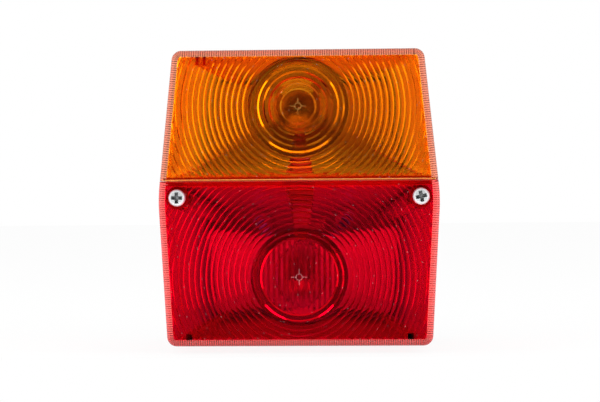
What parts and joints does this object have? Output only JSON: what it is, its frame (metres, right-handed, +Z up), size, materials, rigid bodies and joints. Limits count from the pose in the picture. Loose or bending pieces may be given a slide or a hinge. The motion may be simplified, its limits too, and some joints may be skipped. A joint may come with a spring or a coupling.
{
  "type": "tail light cluster",
  "caption": "Flat-fronted tail lamp: amber indicator lens over a red tail and stop lens, both with ring optics, screwed to a dark base that holds reflectors, bulbs, sockets and contacts.",
  "frame": {"origin": "middle of the flat back of the base, on the mounting panel", "axes": "+Z up on the vehicle, +X to the right seen from the front, the lamp looks along -Y"},
  "size_m": [0.1046, 0.0604, 0.11],
  "materials": {
    "base_plastic": "moulded, fine satin grain",
    "reflector_plastic": "light grey, satin moulded",
    "seal_rubber": "matt moulded rubber",
    "amber_plastic": "clear tinted acrylic, polished outside",
    "red_plastic": "clear tinted acrylic, polished outside",
    "screw_zinc": "bright zinc plate",
    "strip_steel": "plated strip",
    "socket_steel": "plated drawn shell",
    "rivet_metal": "plain",
    "contact_brass": "stamped spring brass",
    "bulb_glass": "clear",
    "cap_metal": "nickel plate",
    "cap_insulator": "dark glassy insulator",
    "solder": "soft solder",
    "filament_wire": "drawn wire"
  },
  "bodies": {
    "root": {"base_housing": "base_plastic", "upper_reflector": "reflector_plastic", "lower_reflector": "reflector_plastic", "lens_seal": "seal_rubber", "amber_lens": "amber_plastic", "red_lens": "red_plastic", "lens_screws": "screw_zinc", "cable_grommet": "seal_rubber", "earth_strip": "strip_steel", "strip_rivets": "rivet_metal", "contact_rivets": "rivet_metal", "upper_bulb_socket": "socket_steel", "lower_bulb_socket": "socket_steel", "indicator_contact": "contact_brass", "tail_contact": "contact_brass", "stop_contact": "contact_brass", "indicator_bulb_glass": "bulb_glass", "indicator_bulb_cap": "cap_metal", "indicator_bulb_insulator": "cap_insulator", "indicator_bulb_tip": "solder", "indicator_bulb_stem": "bulb_glass", "indicator_bulb_filament": "filament_wire", "stop_tail_bulb_glass": "bulb_glass", "stop_tail_bulb_cap": "cap_metal", "stop_tail_bulb_insulator": "cap_insulator", "stop_tail_bulb_tips": "solder", "stop_tail_bulb_stem": "bulb_glass", "stop_tail_bulb_filaments": "filament_wire"}
  },
  "joints": []
}
